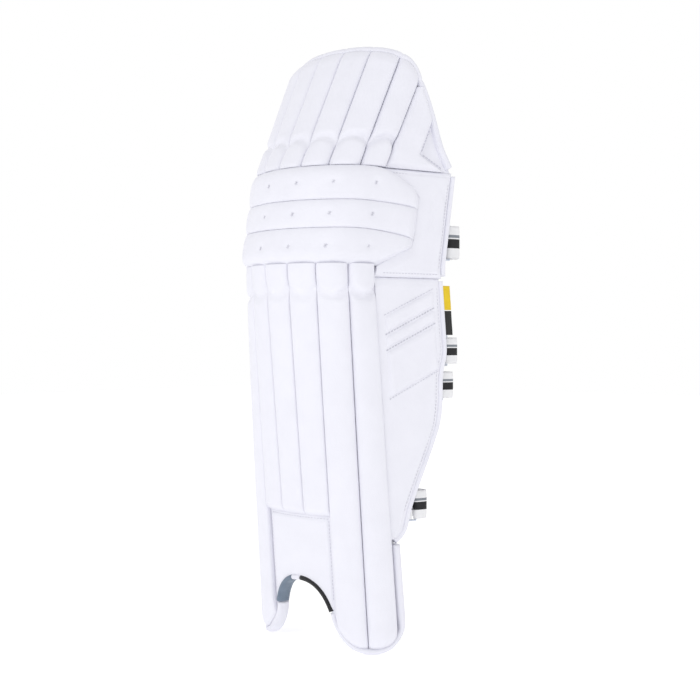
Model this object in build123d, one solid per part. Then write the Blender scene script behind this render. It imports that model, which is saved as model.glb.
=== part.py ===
from build123d import *
import math
import os

# A right-handed batting pad standing on its two toes. Millimetres, +Z up, the front faces -Y and
# the long outer wing is on the +X side. The origin is on the ground under the middle of the pad.

# ---------------------------------------------------------------- heights
KNEE_BASE = 457.0          # underside of the lowest knee roll
ROLL_SPLITS = (500.0, 533.0)
KNEE_TOP = 574.0           # top of the highest knee roll, where the top hat starts
DOME_TOP = 724.0           # middle of the binding over the top hat
INSTEP_TOP = 160.0         # top of the plain instep panel
ARCH_HEIGHT = 84.0
ARCH_HALF_WIDTH = 50.0
ARCH_TRIM = 3.0            # thickness of the edging round the arch
ARCH_TRIM_BASE = 34.0      # height where the edging starts, above the toes
TOE_TRIM_HEIGHT = 6.0

# ---------------------------------------------------------------- leans, as seen from the side
SHIN_LEAN = 5.6            # degrees, the foot is further back than the knee
KNEE_LEAN = 10.2           # degrees back
TOP_LEAN = 26.5            # degrees back

# ---------------------------------------------------------------- the bowed cross-section
CANE_WIDTH = {"foot": 34.5, "knee": 33.8, "top": 36.0}
FRONT_RADIUS = {"foot": 210.0, "knee": 105.0, "top": 130.0}
CORNER_RADIUS = {"foot": 46.0, "knee": 40.0, "top": 44.0}
SIDE_ANGLE = 74.0          # degrees turned from the front where the section becomes the side
CANES = 7
EDGE_GROOVE = CANES / 2    # groove between the last cane and the side, in cane widths
CORNER_GROOVE = 2.0        # where the front radius gives way to the corner radius, in cane widths

# ---------------------------------------------------------------- heights off the face and under it
CANE_CROWN = 13.0
CANE_EDGE = 5.0
PANEL = 5.0
ROLL_CROWN = 18.0
ROLL_EDGE = 10.0
BACKING = 7.2
LINER = 3.5
CUSHION = 14.0
WING = 6.0
KNEE_WING = 8.0
STRIP = 2.5
PIPING_RADIUS = 3.2
CORNER_DROP = 3.125 * PIPING_RADIUS  # the top hat's edge turns this far below its dome, so its binding can bend
PIPING_INSET = PIPING_RADIUS + 1.8  # how far a panel's edge stays inside the middle of its piping
TOE_TRIM = 9.0
FIT = 0.4                  # clearance between neighbouring soft pieces
BACKING_REACH = 8.0        # how far the backing passes the edge groove

# ---------------------------------------------------------------- the wings: (depth behind the edge groove, height)
WING_START = 6.0
CALF_WING_TOP = 443.0
CALF_EDGE = [(6, 132), (20, 141), (30, 171), (45, 201), (64, 237), (79, 268), (84, 289),
             (88, 333), (96, 352), (96, CALF_WING_TOP)]
KNEE_WING_BASE = 446.0
KNEE_WING_DEPTH = 100.0
ROLL_REACH = [(4, KNEE_BASE), (50, 480), (52, 500), (52, KNEE_TOP)]
INNER_ROLL_REACH = 20.0
INNER_WING_DEPTH = 52.0
INNER_WING_BASE = 150.0
STRIP_RISE = 0.45          # slope of the padded strips, rising towards the back
STRIPS = [(297.0, 54.0), (355.0, 14.5), (373.5, 19.5)]  # lower edge at the groove, and width
STRIP_SPAN = (10.0, 84.0)  # depths where the strips start and end

# ---------------------------------------------------------------- fold between the rolls and the top hat
FOLD_DEPTH = 20.0          # the fold line is this far behind the face
FOLD_BACK = 10.0           # degrees that the top hat can tip back
FOLD_SPARE = 1.5           # degrees of clearance past that
FOLD_GAP = 3.5

# ---------------------------------------------------------------- bolsters inside the two sides
BOLSTER = 16.7
BOLSTER_OUTER = -BACKING - 2.1
BOLSTER_INNER = BOLSTER_OUTER - BOLSTER
BOLSTER_START = BACKING_REACH + 3
BOLSTER_EDGE = [(32, 200), (56, 240), (71, 270), (76, 290), (80, 333), (86, 352), (86, 440),
                (92, KNEE_BASE), (107, 505), (107, KNEE_TOP - 3)]
INNER_BOLSTER_EDGE = 48.0

# ---------------------------------------------------------------- straps
# name: (height of the middle, width, depth of the outer edge there, length of the ring's tab)
STRAPS = {
    "knee": (490.0, 40.0, KNEE_WING_DEPTH + 3, 30.0),
    "upper_calf": (357.0, 32.0, 96.0, 30.0),
    "lower_calf": (315.0, 32.0, 86.5, 30.0),
    "ankle": (172.0, 34.0, 36.0, 12.0),
}
WEBBING = 2.2
WIRE_RADIUS = 1.2
WRAP_GAP = 0.4
RING_PITCH = 9.0           # between the two upright bars of a ring
RING_OUT = 9.0             # rear bar behind the wing's edge
RING_FACE = BOLSTER_OUTER + 0.5 + WIRE_RADIUS + WRAP_GAP + WEBBING  # its tab clears the bolster
TAB_FACE = RING_FACE + WIRE_RADIUS + WRAP_GAP + WEBBING  # outside of the ring tabs
RING_SPARE = 1.0           # the ring is this much taller inside than the webbing is wide
TAIL_LENGTH = 85.0
BAND_START = 15.0          # where a band is sewn on, behind the inner edge groove
INNER_BEND_RADIUS = 50.0
OUTER_BEND_RADIUS = 6.5
TAG_HEIGHT = 30.0
TAG_TOP = 436.0
TAG_REACH = 9.0


def between(value, low, high, start, end):
    share = min(max((value - low) / (high - low), 0.0), 1.0)
    return start + (end - start) * share


def depth_at(outline, z):
    """Depth of an outline of (depth, height) points at a height."""
    pairs = zip(outline, outline[1:])
    for (depth, height), (next_depth, next_height) in pairs:
        if z <= next_height:
            return between(z, height, next_height, depth, next_depth)
    return outline[-1][0]


def size_at(z, sizes):
    if z <= KNEE_BASE:
        return between(z, 0.0, KNEE_BASE, sizes["foot"], sizes["knee"])
    return between(z, KNEE_TOP, DOME_TOP, sizes["knee"], sizes["top"])


def face_line(z):
    """How far back the middle of the face is at a height; 0 at the underside of the rolls."""
    if z <= KNEE_BASE:
        return (KNEE_BASE - z) * math.tan(math.radians(SHIN_LEAN))
    knee = min(z, KNEE_TOP) - KNEE_BASE
    top = max(z - KNEE_TOP, 0.0)
    return knee * math.tan(math.radians(KNEE_LEAN)) + top * math.tan(math.radians(TOP_LEAN))


def groove(k, z):
    """Distance round the face of the groove that is k cane widths from the middle."""
    return k * size_at(z, CANE_WIDTH)


def side(depth, z):
    """Distance round the face of a point on the side, depth behind the edge groove."""
    return groove(EDGE_GROOVE, z) + depth


def surface(s, n, z):
    """Point s round the face from the middle and n outside it, at height z."""
    front = size_at(z, FRONT_RADIUS)
    corner = size_at(z, CORNER_RADIUS)
    front_end = groove(CORNER_GROOVE, z)
    front_turn = front_end / front
    full_turn = math.radians(SIDE_ANGLE)
    distance = abs(s)
    turn = distance / front
    x = front * math.sin(turn)
    y = front * (1 - math.cos(turn))
    if distance > front_end:
        turn = min(front_turn + (distance - front_end) / corner, full_turn)
        x = front * math.sin(front_turn) + corner * (math.sin(turn) - math.sin(front_turn))
        y = front * (1 - math.cos(front_turn)) + corner * (math.cos(front_turn) - math.cos(turn))
        straight = max(distance - front_end - (full_turn - front_turn) * corner, 0.0)
        x += straight * math.cos(turn)
        y += straight * math.sin(turn)
    x += n * math.sin(turn)
    y -= n * math.cos(turn)
    return Vector(math.copysign(x, s), y + face_line(z), z)


def breaks(start, end, z):
    """start and end, with the places between them where one arc of the section meets the next."""
    front_end = groove(CORNER_GROOVE, z)
    turn_left = math.radians(SIDE_ANGLE) - front_end / size_at(z, FRONT_RADIUS)
    corner_end = front_end + turn_left * size_at(z, CORNER_RADIUS)
    inner = [s for s in (-corner_end, -front_end, front_end, corner_end) if start < s < end]
    return [start] + inner + [end]


def span(a, b, n, z):
    """The arc or straight line that follows the section from a to b, n outside the face."""
    first, middle, last = surface(a, n, z), surface((a + b) / 2, n, z), surface(b, n, z)
    bow = (middle - (first + last) / 2).length
    return ThreePointArc(first, middle, last) if bow > 0.01 else Line(first, last)


def layer_face(start, end, inner, outer, z):
    stops = breaks(start, end, z)
    edges = [span(a, b, n, z) for n in (inner, outer) for a, b in zip(stops, stops[1:])]
    edges += [Line(surface(s, inner, z), surface(s, outer, z)) for s in (start, end)]
    return make_face(edges)


def layer(heights, start, end, inner, outer):
    """Layer that follows the section. start, end and outer are functions of the height."""
    faces = [layer_face(start(z), end(z), inner, outer(z), z) for z in heights]
    return loft(faces, ruled=True)


def constant(value):
    return lambda z: value


def heights_of(outline):
    return [height for depth, height in outline]


def cane(k, heights):
    """One padded channel between the grooves k and k + 1."""
    faces = []
    for z in heights:
        start = groove(k, z) + FIT / 2
        end = groove(k + 1, z) - FIT / 2
        middle = (start + end) / 2
        base = ThreePointArc(surface(start, FIT, z), surface(middle, FIT, z), surface(end, FIT, z))
        dome = ThreePointArc(
            surface(start, CANE_EDGE, z), surface(middle, CANE_CROWN, z), surface(end, CANE_EDGE, z)
        )
        walls = [Line(surface(s, FIT, z), surface(s, CANE_EDGE, z)) for s in (start, end)]
        faces.append(make_face([base, dome] + walls))
    return loft(faces, ruled=True)


def arch_cutter(margin):
    """Half-oval hole from front to back through the foot, margin larger than the arch."""
    oval = Ellipse(ARCH_HALF_WIDTH + margin, ARCH_HEIGHT + margin)
    return extrude(Plane.XZ * oval, 200, both=True)


def cord(points, radius):
    """Round cord through the points, with rounded corners and flat ends."""
    section = Plane(origin=points[0], z_dir=points[1] - points[0]) * Circle(radius)
    return sweep(section, path=Polyline(*points), transition=Transition.ROUND)


def rod(points, radius):
    """Round wire through the points, with ball corners."""
    solid = Sphere(radius).moved(Location(points[0]))
    for a, b in zip(points, points[1:]):
        run = Cylinder(radius, (b - a).length, align=(Align.CENTER, Align.CENTER, Align.MIN))
        solid += run.moved(Plane(origin=a, z_dir=b - a).location)
        solid += Sphere(radius).moved(Location(b))
    return solid


def side_direction(sign):
    turn = math.radians(SIDE_ANGLE)
    return Vector(sign * math.cos(turn), math.sin(turn), 0)


def side_normal(sign):
    turn = math.radians(SIDE_ANGLE)
    return Vector(sign * math.sin(turn), -math.cos(turn), 0)


# ---------------------------------------------------------------- shin
def make_canes(nodes):
    for index in range(CANES):
        k = index - EDGE_GROOVE
        central = abs(k + 0.5) < 1.5
        base = INSTEP_TOP + 3 if central else TOE_TRIM_HEIGHT + FIT
        top = KNEE_BASE - 1
        solid = cane(k, [base, (base + top) / 2, top])
        if not central:
            solid = solid - arch_cutter(ARCH_TRIM + FIT)
        nodes[f"shin_cane_{index + 1}"] = solid


def make_instep_panel(nodes):
    edge = CANES / 2 - 2
    panel = layer(
        [30, INSTEP_TOP],
        lambda z: -groove(edge, z) + FIT,
        lambda z: groove(edge, z) - FIT,
        FIT,
        constant(PANEL),
    )
    nodes["instep_panel"] = panel - arch_cutter(ARCH_TRIM + FIT)


def make_shin_layers(nodes):
    reach = lambda z: side(BACKING_REACH, z)
    heights = [TOE_TRIM_HEIGHT + FIT, KNEE_BASE, KNEE_TOP - 1]
    backing = layer(heights, lambda z: -reach(z), reach, -BACKING - FIT, constant(-FIT))
    nodes["shin_backing"] = backing - arch_cutter(ARCH_TRIM + FIT)
    inner_face = -BACKING - 2 * FIT - LINER
    liner_reach = lambda z: groove(EDGE_GROOVE, z) - 2
    liner = layer(
        [20, KNEE_BASE], lambda z: -liner_reach(z), liner_reach, inner_face, constant(inner_face + LINER)
    )
    nodes["shin_liner"] = liner - arch_cutter(2 * ARCH_TRIM)
    for name, low, high in (("lower", 462, 494), ("upper", 534, 568)):
        cushion_reach = lambda z: groove(2.55, z)
        nodes[f"knee_cushion_{name}"] = layer(
            [low, high],
            lambda z: -cushion_reach(z),
            cushion_reach,
            -BACKING - 2 * FIT - CUSHION,
            constant(-BACKING - 2 * FIT),
        )


def make_arch_binding(nodes):
    """Edging round the instep arch, in three lengths of different colour."""
    edging = arch_cutter(ARCH_TRIM) - arch_cutter(FIT)
    end = ARCH_HALF_WIDTH + 2 * ARCH_TRIM
    lengths = {"blue": (-end, -12), "white": (-12, 2), "black": (2, end)}
    depth = 2 * BACKING + CANE_EDGE + 4
    rise = ARCH_HEIGHT + 2 * ARCH_TRIM - ARCH_TRIM_BASE
    for colour, (low, high) in lengths.items():
        block = Box(high - low - FIT, depth, rise, align=(Align.MIN, Align.CENTER, Align.MIN))
        place = Location((low + FIT / 2, face_line(ARCH_HEIGHT / 2) + 2, ARCH_TRIM_BASE))
        nodes[f"arch_binding_{colour}"] = edging & block.moved(place)


def make_toe_trims(nodes):
    """The bound ends of the two toes, which the pad stands on."""
    for name, sign in (("inner", -1), ("outer", 1)):
        ends = [lambda z: sign * groove(1.75, z), lambda z: sign * side(BACKING_REACH, z)]
        ends = ends if sign > 0 else ends[::-1]
        trim = layer(
            [0, TOE_TRIM_HEIGHT], ends[0], ends[1], -BACKING - FIT, constant(TOE_TRIM)
        )
        nodes[f"toe_trim_{name}"] = trim


# ---------------------------------------------------------------- knee
def make_knee_rolls(nodes):
    edges = [KNEE_BASE, *ROLL_SPLITS, KNEE_TOP]
    for name, low, high in zip(("lower", "middle", "upper"), edges, edges[1:]):
        low, high = low + FIT / 2, high - FIT / 2
        middle = (low + high) / 2
        crowns = {low: ROLL_EDGE, middle: ROLL_CROWN, high: ROLL_EDGE}
        nodes[f"knee_roll_{name}"] = layer(
            [low, middle, high],
            lambda z: -side(INNER_ROLL_REACH, z),
            lambda z: side(depth_at(ROLL_REACH, z), z),
            FIT,
            lambda z: crowns[z],
        )


def make_knee_wing(nodes):
    under_rolls = [(depth + 3, height) for depth, height in ROLL_REACH[1:-1]]
    start = [(WING_START, KNEE_WING_BASE), (WING_START, KNEE_BASE - 5), *under_rolls]
    start.append((ROLL_REACH[-1][0] + 3, KNEE_TOP - 2))
    nodes["knee_wing"] = layer(
        heights_of(start),
        lambda z: side(depth_at(start, z), z),
        lambda z: side(KNEE_WING_DEPTH - PIPING_INSET, z),
        FIT,
        constant(KNEE_WING),
    )
    ends = (KNEE_WING_BASE + PIPING_RADIUS, KNEE_TOP - 2 - PIPING_RADIUS)
    line = [surface(side(KNEE_WING_DEPTH, z), KNEE_WING / 2, z) for z in ends]
    nodes["knee_wing_piping"] = cord(line, PIPING_RADIUS)


# ---------------------------------------------------------------- outer wing beside the calf
def make_calf_wing(nodes):
    nodes["calf_wing"] = layer(
        heights_of(CALF_EDGE),
        lambda z: side(WING_START, z),
        lambda z: side(max(depth_at(CALF_EDGE, z) - PIPING_INSET, WING_START + 1), z),
        FIT,
        constant(WING),
    )
    edge = CALF_EDGE[1:-1] + [(CALF_EDGE[-1][0], CALF_WING_TOP - PIPING_RADIUS)]
    line = [surface(side(depth, z), TAB_FACE + 1 + PIPING_RADIUS, z) for depth, z in edge]
    nodes["calf_wing_piping"] = cord(line, PIPING_RADIUS)


def make_wing_strips(nodes):
    """Slanting padded strips sewn to the outside of the calf wing."""
    start, end = STRIP_SPAN
    for index, (foot, width) in enumerate(STRIPS):
        low, high = foot + start * STRIP_RISE, foot + end * STRIP_RISE
        nodes[f"wing_strip_{index + 1}"] = layer(
            sorted([low + 1, low + width, high, high + width - 1]),
            lambda z: side(max(start, (z - foot - width) / STRIP_RISE), z),
            lambda z: side(min(end, (z - foot) / STRIP_RISE), z),
            WING + FIT,
            constant(WING + FIT + STRIP),
        )


def make_tags(nodes):
    """Two folded cloth tags sewn into the calf wing's rear edge."""
    for index, name in enumerate(("yellow", "black")):
        top = TAG_TOP - index * (TAG_HEIGHT + FIT)
        edge = CALF_EDGE[-1][0] + PIPING_RADIUS + FIT
        nodes[f"edge_tag_{name}"] = layer(
            [top - TAG_HEIGHT, top],
            lambda z: side(edge, z),
            lambda z: side(edge + TAG_REACH, z),
            WING / 2 - 0.7,
            constant(WING / 2 + 0.7),
        )


# ---------------------------------------------------------------- inner side
def make_inner_wing(nodes):
    start = [(WING_START, INNER_WING_BASE), (WING_START, KNEE_BASE - 4), (23, KNEE_BASE), (23, KNEE_TOP - 2)]
    depth = [(18, INNER_WING_BASE), (40, 200), (INNER_WING_DEPTH, 260), (INNER_WING_DEPTH, KNEE_TOP)]
    heights = sorted({*heights_of(start), 200, 260})
    nodes["inner_wing"] = layer(
        heights,
        lambda z: -side(depth_at(depth, z), z),
        lambda z: -side(depth_at(start, z), z),
        FIT,
        constant(WING),
    )


def make_bolsters(nodes):
    nodes["outer_bolster"] = layer(
        heights_of(BOLSTER_EDGE),
        lambda z: side(BOLSTER_START, z),
        lambda z: side(depth_at(BOLSTER_EDGE, z), z),
        BOLSTER_INNER,
        constant(BOLSTER_OUTER),
    )
    nodes["inner_bolster"] = layer(
        [200, KNEE_BASE, KNEE_TOP - 3],
        lambda z: -side(INNER_BOLSTER_EDGE, z),
        lambda z: -side(BOLSTER_START, z),
        BOLSTER_INNER,
        constant(BOLSTER_OUTER),
    )


# ---------------------------------------------------------------- top hat
def dome_height(s):
    """Height of the top hat's edge at a distance round the face."""
    reach, drop, power = groove(EDGE_GROOVE + 0.3, DOME_TOP), 104.0, 3
    share = min(abs(s) / reach, 1.0)
    return DOME_TOP - drop * (1 - (1 - share**power) ** (1 / power))


def dome_points(n):
    distances = [k / 2 * CANE_WIDTH["top"] for k in range(-CANES, CANES + 1)]
    return [surface(s, n, dome_height(s)) for s in distances]


def top_panel_edge():
    """(depth, height) points of the slanting outer edge, from the rolls up to the dome's corner."""
    corner = dome_height(groove(EDGE_GROOVE, DOME_TOP)) - CORNER_DROP
    rise = corner - KNEE_TOP
    return [(97, KNEE_TOP), (68, KNEE_TOP + 0.29 * rise), (36, KNEE_TOP + 0.72 * rise), (13, corner)]


def fold_line():
    return face_line(KNEE_TOP) + FOLD_DEPTH


def above_fold(solid):
    """What is left of a top hat piece above the wedge that the fold needs."""
    tilt = math.radians(FOLD_BACK + FOLD_SPARE)
    plane = Plane(origin=(0, fold_line(), KNEE_TOP + FOLD_GAP), z_dir=(0, -math.sin(tilt), math.cos(tilt)))
    return split(solid, bisect_by=plane, keep=Keep.TOP)


def under_binding():
    """Block that holds everything under the dome's binding, as seen from the front."""
    edge = [Vector(p.X, 0, p.Z) for p in dome_points(WING / 2)]
    wide = 2 * edge[-1].X
    foot = [Vector(wide, 0, edge[-1].Z), Vector(wide, 0, KNEE_BASE)]
    foot += [Vector(-wide, 0, KNEE_BASE), Vector(-wide, 0, edge[0].Z)]
    outline = make_face(Polyline(*edge, *foot, close=True))
    inside = offset(outline, -PIPING_RADIUS - FIT, kind=Kind.INTERSECTION)
    return extrude(inside, wide, both=True)


def make_top_hat(nodes):
    base = KNEE_TOP + FOLD_GAP
    heights = [base, (base + DOME_TOP) / 2, DOME_TOP + 2]
    dome = under_binding()
    for index in range(CANES):
        solid = cane(index - EDGE_GROOVE, heights) & dome
        nodes[f"top_hat_cane_{index + 1}"] = above_fold(solid)
    reach = lambda z: groove(EDGE_GROOVE, z) - FIT
    backing = layer(heights, lambda z: -reach(z), reach, -BACKING - FIT, constant(-FIT)) & dome
    nodes["top_hat_backing"] = above_fold(backing)
    outline = top_panel_edge()
    top = outline[-1][1] - PIPING_RADIUS - FIT
    panel = layer(
        [base] + heights_of(outline)[1:-1] + [top],
        lambda z: side(FIT, z),
        lambda z: side(depth_at(outline, z) - PIPING_INSET, z),
        FIT,
        constant(WING),
    )
    nodes["top_hat_side_panel"] = above_fold(panel)


def make_top_binding(nodes):
    panel = [surface(side(depth, z), WING / 2, z) for depth, z in top_panel_edge()[1:]]
    line = panel + dome_points(WING / 2)[::-1]
    nodes["top_hat_binding"] = cord(line, PIPING_RADIUS)


# ---------------------------------------------------------------- straps
def ribbon(wire, width):
    """Webbing that stands on edge along a level path."""
    section = Plane(origin=wire @ 0, x_dir=(0, 0, 1), z_dir=wire % 0) * Rectangle(width, WEBBING)
    return sweep(section, path=wire)


def ring(rear_bar, back, height):
    """Rectangular wire ring: two upright bars and two short ones."""
    half = Vector(0, 0, height / 2)
    front_bar = rear_bar - back * RING_PITCH
    corners = [front_bar - half, front_bar + half, rear_bar + half, rear_bar - half]
    return rod(corners + corners[:1], WIRE_RADIUS)


def make_ring_tab(z, width, length, front_bar):
    """Tongue sewn to the bolster, with a sleeve round the ring's front bar."""
    bore = WIRE_RADIUS + WRAP_GAP
    sleeve = Cylinder(bore + WEBBING, width)
    tongue = Box(length, WEBBING, width, align=(Align.MAX, Align.CENTER, Align.CENTER))
    turned = Location(front_bar, (0, 0, SIDE_ANGLE))
    return ((sleeve + tongue) - Cylinder(bore, width)).moved(turned)


def make_straps(nodes, pins):
    back, out = side_direction(1), side_normal(1)
    wrap = WIRE_RADIUS + WRAP_GAP + WEBBING / 2
    lap = WEBBING + FIT
    half_turn = math.radians(180 - SIDE_ANGLE) / 2
    to_corner = wrap + WEBBING + OUTER_BEND_RADIUS * math.tan(half_turn) + FIT
    for name, (z, width, edge, tab_length) in STRAPS.items():
        rear_bar = surface(side(edge + RING_OUT, z), RING_FACE, z)
        pins[name] = rear_bar
        nodes[f"{name}_ring"] = ring(rear_bar, back, width + RING_SPARE + 2 * WIRE_RADIUS)
        front_bar = rear_bar - back * RING_PITCH
        nodes[f"{name}_ring_tab"] = make_ring_tab(z, width, tab_length, front_bar)

        # the band is sewn on the inner side and runs behind the leg to just short of the rear bar
        sewn = surface(-side(BAND_START, z), RING_FACE, z)
        corner = rear_bar + back * to_corner - out * wrap
        inner_back = side_direction(-1)
        run = (corner.Y - sewn.Y) / inner_back.Y
        inner_corner = sewn + inner_back * run
        inner_radius = min(INNER_BEND_RADIUS, 0.9 * run / math.tan(half_turn))
        band_end = rear_bar + back * (wrap + WEBBING) - out * wrap
        band = FilletPolyline(
            sewn, inner_corner, corner, band_end, radius=(inner_radius, OUTER_BEND_RADIUS)
        )
        nodes[f"{name}_strap_band"] = ribbon(band, width)

        # the tail turns round the rear bar and lies back over the outside of the band
        hook = ThreePointArc(rear_bar - out * wrap, rear_bar - back * wrap, rear_bar + out * wrap)
        tail_start = rear_bar + out * wrap
        tail_corner = tail_start + back * ((corner.Y + lap - tail_start.Y) / back.Y)
        tail_end = tail_corner - Vector(TAIL_LENGTH, 0, 0)
        tail = FilletPolyline(tail_start, tail_corner, tail_end, radius=OUTER_BEND_RADIUS)
        nodes[f"{name}_strap_tail"] = ribbon(hook, width) + ribbon(tail, width)


def make_nodes():
    nodes, pins = {}, {}
    make_canes(nodes)
    make_instep_panel(nodes)
    make_shin_layers(nodes)
    make_arch_binding(nodes)
    make_toe_trims(nodes)
    make_knee_rolls(nodes)
    make_knee_wing(nodes)
    make_calf_wing(nodes)
    make_wing_strips(nodes)
    make_tags(nodes)
    make_inner_wing(nodes)
    make_bolsters(nodes)
    make_top_hat(nodes)
    make_top_binding(nodes)
    make_straps(nodes, pins)
    return nodes, pins


nodes, pins = make_nodes()
bounds = [solid.bounding_box() for solid in nodes.values()]
middle_x = (min(b.min.X for b in bounds) + max(b.max.X for b in bounds)) / 2
middle_y = (min(b.min.Y for b in bounds) + max(b.max.Y for b in bounds)) / 2
to_origin = Vector(-middle_x, -middle_y, 0)

os.makedirs("parts", exist_ok=True)
for name, solid in nodes.items():
    export_step(solid.moved(Location(to_origin)), f"parts/{name}.step")


def show(label, point):
    print(label, [round(value / 1000, 5) for value in point + to_origin])


for name, point in pins.items():
    show(f"{name} tail pin", point)
show("fold line", Vector(0, fold_line(), KNEE_TOP))
for z in (CALF_EDGE[0][1], CALF_WING_TOP):
    show("calf wing hinge", surface(side(0, z), 0, z))
for sign in (-1, 1):
    show("toe", surface(sign * groove(2.6, 0), 0, 0))
show("shift", Vector(0, 0, 0))
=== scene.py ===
import math

import bmesh
import bpy
import numpy as np
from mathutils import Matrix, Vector


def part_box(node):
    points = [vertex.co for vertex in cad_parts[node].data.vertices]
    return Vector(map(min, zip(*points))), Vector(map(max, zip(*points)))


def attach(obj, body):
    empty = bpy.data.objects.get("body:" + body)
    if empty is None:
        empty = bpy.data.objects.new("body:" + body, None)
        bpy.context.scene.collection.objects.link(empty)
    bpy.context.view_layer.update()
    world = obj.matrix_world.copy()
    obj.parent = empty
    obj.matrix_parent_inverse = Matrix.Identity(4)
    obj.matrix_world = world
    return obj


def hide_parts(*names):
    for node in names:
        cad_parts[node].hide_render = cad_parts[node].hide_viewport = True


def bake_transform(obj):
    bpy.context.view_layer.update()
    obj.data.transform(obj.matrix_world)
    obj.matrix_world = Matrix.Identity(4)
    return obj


# The looks of a cricket leg pad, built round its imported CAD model. Sizes here are in millimetres
# round the same bowed face that the CAD part uses; place() turns them into metres in the frame.

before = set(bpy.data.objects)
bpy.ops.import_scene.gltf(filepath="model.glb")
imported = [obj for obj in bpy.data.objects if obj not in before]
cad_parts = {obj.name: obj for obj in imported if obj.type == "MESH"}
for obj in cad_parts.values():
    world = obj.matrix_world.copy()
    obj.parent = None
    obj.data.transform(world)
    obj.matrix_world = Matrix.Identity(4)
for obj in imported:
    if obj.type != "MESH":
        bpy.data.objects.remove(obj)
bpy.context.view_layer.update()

# ---------------------------------------------------------------- the CAD part's driving sizes
KNEE_BASE, KNEE_TOP, DOME_TOP = 457.0, 574.0, 724.0
ROLL_EDGES = (KNEE_BASE, 500.0, 533.0, KNEE_TOP)
INSTEP_TOP, ARCH_HEIGHT, ARCH_HALF_WIDTH = 160.0, 84.0, 50.0
SHIN_LEAN, KNEE_LEAN, TOP_LEAN = 5.6, 10.2, 26.5
CANE_WIDTH = {"foot": 34.5, "knee": 33.8, "top": 36.0}
FRONT_RADIUS = {"foot": 210.0, "knee": 105.0, "top": 130.0}
CORNER_RADIUS = {"foot": 46.0, "knee": 40.0, "top": 44.0}
SIDE_ANGLE = math.radians(74)
CANES = 7
EDGE_GROOVE, CORNER_GROOVE = CANES / 2, 2.0
CANE_CROWN, ROLL_CROWN, PANEL, BACKING, LINER, CUSHION = 13.0, 18.0, 5.0, 7.2, 3.5, 14.0
WING, KNEE_WING, PIPING, FIT = 6.0, 8.0, 3.2, 0.4
WING_START, CALF_WING_TOP, KNEE_WING_BASE, KNEE_WING_DEPTH = 6.0, 443.0, 446.0, 100.0
CALF_EDGE = [(6, 132), (20, 141), (30, 171), (45, 201), (64, 237), (79, 268), (84, 289), (88, 333),
             (96, 352), (96, CALF_WING_TOP)]
BACKING_REACH = 8.0
BOLSTER_INNER, BOLSTER_OUTER, BOLSTER_START = -26.0, -9.3, 11.0
BOLSTER_EDGE = [(32, 200), (56, 240), (71, 270), (76, 290), (80, 333), (86, 352), (86, 440),
                (92, KNEE_BASE), (107, 505), (107, KNEE_TOP - 3)]
STRIP_RISE, STRIP_SPAN, STRIP = 0.45, (10.0, 84.0), 2.5
STRIPS = [(297.0, 54.0), (355.0, 14.5), (373.5, 19.5)]  # lower edge at the groove, and width
# name: (height of the middle, width, depth of the outer edge there, length of the ring's tab)
STRAPS = {
    "knee": (490.0, 40.0, KNEE_WING_DEPTH + 3, 30.0),
    "upper_calf": (357.0, 32.0, 96.0, 30.0),
    "lower_calf": (315.0, 32.0, 86.5, 30.0),
    "ankle": (172.0, 34.0, 36.0, 12.0),
}
WEBBING, WIRE_RADIUS, WRAP_GAP, RING_PITCH, RING_OUT, RING_FACE = 2.2, 1.2, 0.4, 9.0, 9.0, -5.0
TAIL_LENGTH, BAND_START, INNER_BEND, OUTER_BEND = 85.0, 15.0, 50.0, 6.5
TAG_HEIGHT, TAG_TOP, TAG_REACH = 30.0, 436.0, 9.0

# ---------------------------------------------------------------- sizes only the looks need
TOE_LIFT = 3.6             # a toe's lowest point, over the tape that stands on the floor
TOE_LOBE = 40.0            # half width of a toe lobe
ARCH_POWER = 2.4           # 2 would make the arch an ellipse, and more makes it squarer
TAPE_WIDTH = {"arch": 3.6, "toe": 3.8, "dome": 4.3}  # half widths of the bound edges
SEAM_INSET = 5.0           # from a panel's edge to its row of stitches
ROLL_SEAM, ROLL_HEM = 14.0, 6.6  # heights off the face of the rolls' seams and ends
SEAM_DROPS = (0.0, 11.0, 6.5, 0.0)  # how far each edge of a roll drops at its outer end
SHOULDER_DROP, SHOULDER_START, SHOULDER_END, SHOULDER_POWER = 33.0, -20.0, 53.0, 1.8
FOLD_REACH, SEAM_REACH = 46.0, 8.0  # how far from the fold and the wing's seam each ride's second point lies
HAIR, ROLL_HAIR = 0.08, 0.06  # half of the gap between two top channels, and two rolls, that touch
TOE_DIP = 30.0             # height of a toe lobe's shoulders above its lowest point
TOE_MIDDLE = 90.0          # distance round the face of a toe's lowest point
CUP_HEIGHT = 27.0          # puffed cups next to the knee rolls
STITCH_PITCH, STITCH_LENGTH, STITCH_RADIUS = 4.4, 2.9, 0.42
NOTCH = [(43.0, 594.0), (86.0, 575.0)]  # depth and height along the lower side of the top hat's notch
TACKS = (-3.0, -1.8, -0.6, 0.6, 1.8, 3.0)  # where the rolls are tacked down, in cane widths


# ---------------------------------------------------------------- the bowed face
def size_at(z, sizes):
    below = np.interp(z, [0, KNEE_BASE], [sizes["foot"], sizes["knee"]])
    above = np.interp(z, [KNEE_TOP, DOME_TOP], [sizes["knee"], sizes["top"]])
    return np.where(z <= KNEE_BASE, below, above)


def sharp_face_line(z):
    shin = np.maximum(KNEE_BASE - z, 0) * math.tan(math.radians(SHIN_LEAN))
    knee = (np.clip(z, KNEE_BASE, KNEE_TOP) - KNEE_BASE) * math.tan(math.radians(KNEE_LEAN))
    top = np.maximum(z - KNEE_TOP, 0) * math.tan(math.radians(TOP_LEAN))
    return shin + knee + top


def face_line(z):
    """How far back the face is at a height, with its bends at the knee softened."""
    steps = (-8, -4, 0, 4, 8)
    return sum(sharp_face_line(z + step) for step in steps) / len(steps)


def groove(k, z):
    return k * size_at(z, CANE_WIDTH)


def side(depth, z):
    return groove(EDGE_GROOVE, z) + depth


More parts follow.
